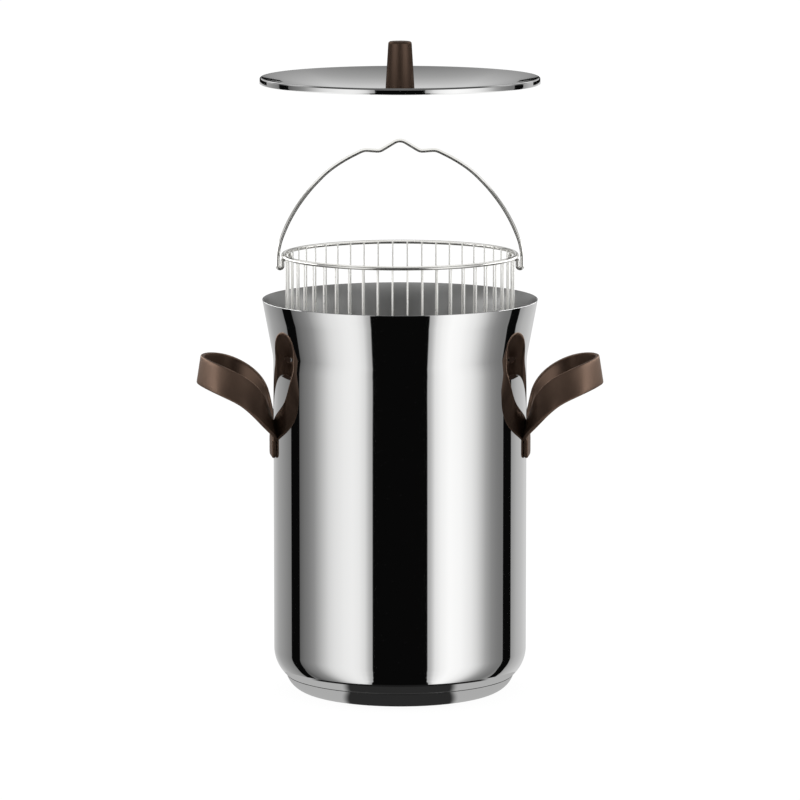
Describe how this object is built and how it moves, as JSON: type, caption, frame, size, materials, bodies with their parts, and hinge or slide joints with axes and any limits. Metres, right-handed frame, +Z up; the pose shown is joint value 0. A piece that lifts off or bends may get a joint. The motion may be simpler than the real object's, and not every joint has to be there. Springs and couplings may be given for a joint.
{
  "type": "asparagus steamer pot",
  "caption": "Tall polished steel steamer pot with flared mouth, ribbon loop handles, lifted dished lid with tapered knob and lifted wire basket with swinging bail.",
  "frame": {"origin": "centre of the underside of the base, on the surface that the pot stands on", "axes": "+Z up along the pot's axis; +X through the right-hand handle, and the bail swings about X; +Y towards the back"},
  "size_m": [0.257, 0.176, 0.4124],
  "materials": {
    "mirror_steel": "mirror polished stainless steel",
    "brown_coating": "satin brown coated steel",
    "bright_wire": "bright polished stainless wire",
    "plain_steel": "plain stainless steel"
  },
  "bodies": {
    "pot": {"pot_body": "mirror_steel", "base_disc": "mirror_steel", "handle_right": "brown_coating", "handle_left": "brown_coating", "lid_dish": "mirror_steel", "lid_knob": "brown_coating", "knob_screw": "plain_steel", "basket_top_ring": "bright_wire", "basket_mid_hoop": "bright_wire", "basket_bottom_ring": "bright_wire", "basket_uprights": "bright_wire", "basket_floor_rods": "bright_wire", "basket_cross_rods": "bright_wire"},
    "bail": {"basket_bail": "bright_wire"}
  },
  "joints": [
    {"name": "bail_swing", "type": "hinge", "parent": "pot", "child": "bail", "pos_m": [0, 0, 0.27495], "axis": [1, 0, 0], "range_deg": [-68, 68]}
  ]
}
